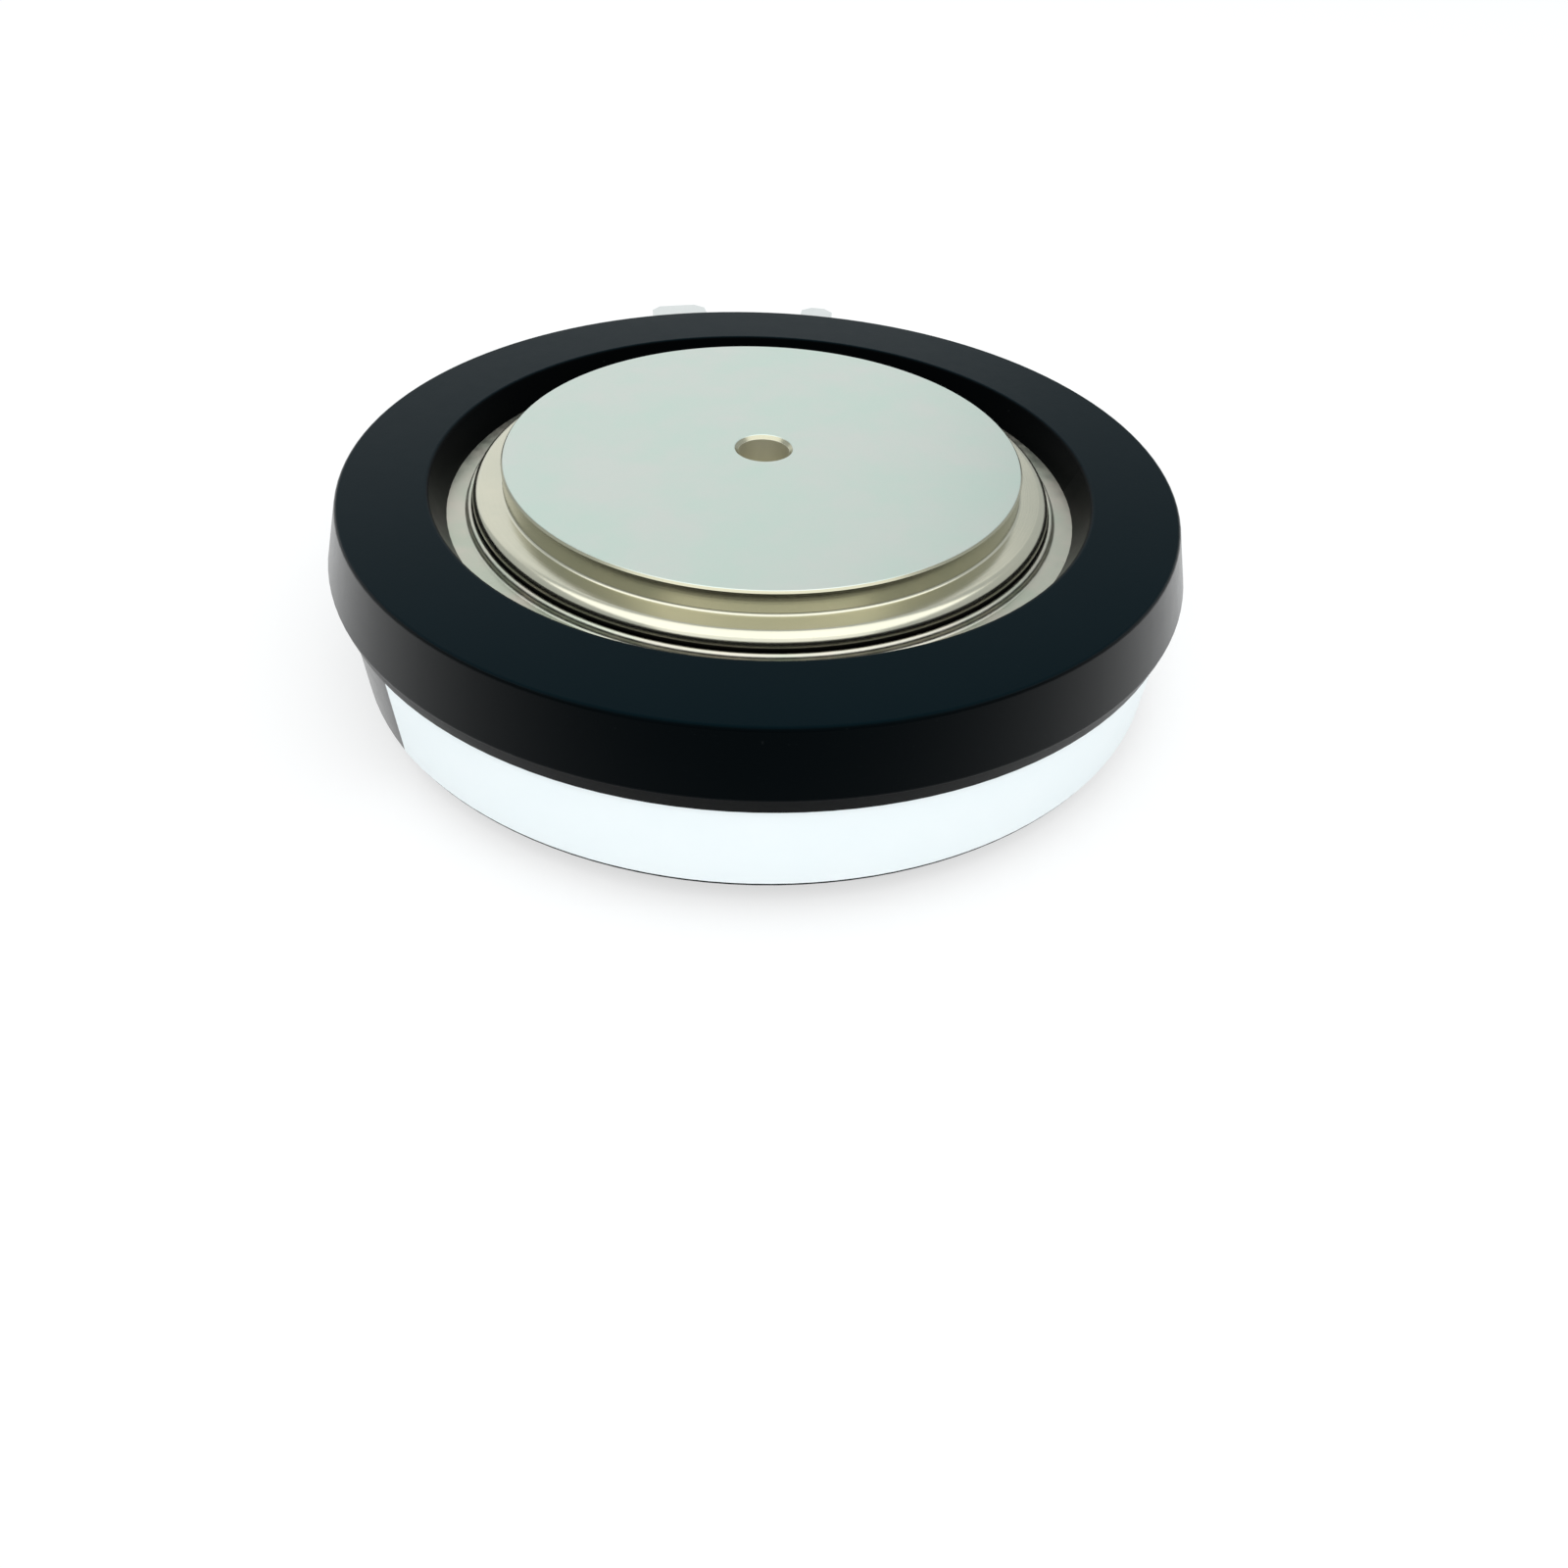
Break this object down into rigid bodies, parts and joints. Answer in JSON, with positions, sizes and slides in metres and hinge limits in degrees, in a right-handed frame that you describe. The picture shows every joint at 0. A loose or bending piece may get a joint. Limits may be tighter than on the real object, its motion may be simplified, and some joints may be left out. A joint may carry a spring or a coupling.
{
  "type": "disc thyristor",
  "caption": "Flat pressure-contact thyristor: a silicon disc between plated copper poles in a black insulating ring case, with blade tabs for the gate and the auxiliary cathode.",
  "frame": {"origin": "centre of the anode contact face, on the disc's axis", "axes": "+Z along the disc's axis from the anode to the cathode contact face, +Y to the side where the two blade tabs leave the case"},
  "size_m": [0.0584, 0.0639, 0.014],
  "materials": {
    "case_black": "moulded, fine satin",
    "label_white": "coated",
    "pole_nickel": "lapped nickel plate",
    "flange_nickel": "stamped nickel sheet",
    "tab_tin": "tin plate",
    "spacer_cream": "moulded",
    "gasket_red": "silicone rubber",
    "silicon_grey": "lapped",
    "molybdenum": "ground",
    "silicone_white": "silicone rubber",
    "gate_gold": "plated",
    "spring_steel": "drawn wire",
    "insulator_white": "turned",
    "lead_copper": "drawn wire"
  },
  "bodies": {
    "root": {"cover_ring": "case_black", "housing_body": "case_black", "type_label": "label_white", "cathode_pole": "pole_nickel", "anode_pole": "pole_nickel", "cathode_flange": "flange_nickel", "anode_flange": "flange_nickel", "auxiliary_cathode_tab": "tab_tin", "gate_tab": "tab_tin", "insulating_spacer": "spacer_cream", "upper_gasket": "gasket_red", "lower_gasket": "gasket_red", "silicon_wafer": "silicon_grey", "anode_molybdenum_disc": "molybdenum", "cathode_molybdenum_disc": "molybdenum", "wafer_edge_seal": "silicone_white", "gate_pin": "gate_gold", "gate_spring": "spring_steel", "gate_bush": "insulator_white", "gate_lead": "lead_copper", "gate_sleeve": "insulator_white"}
  },
  "joints": []
}
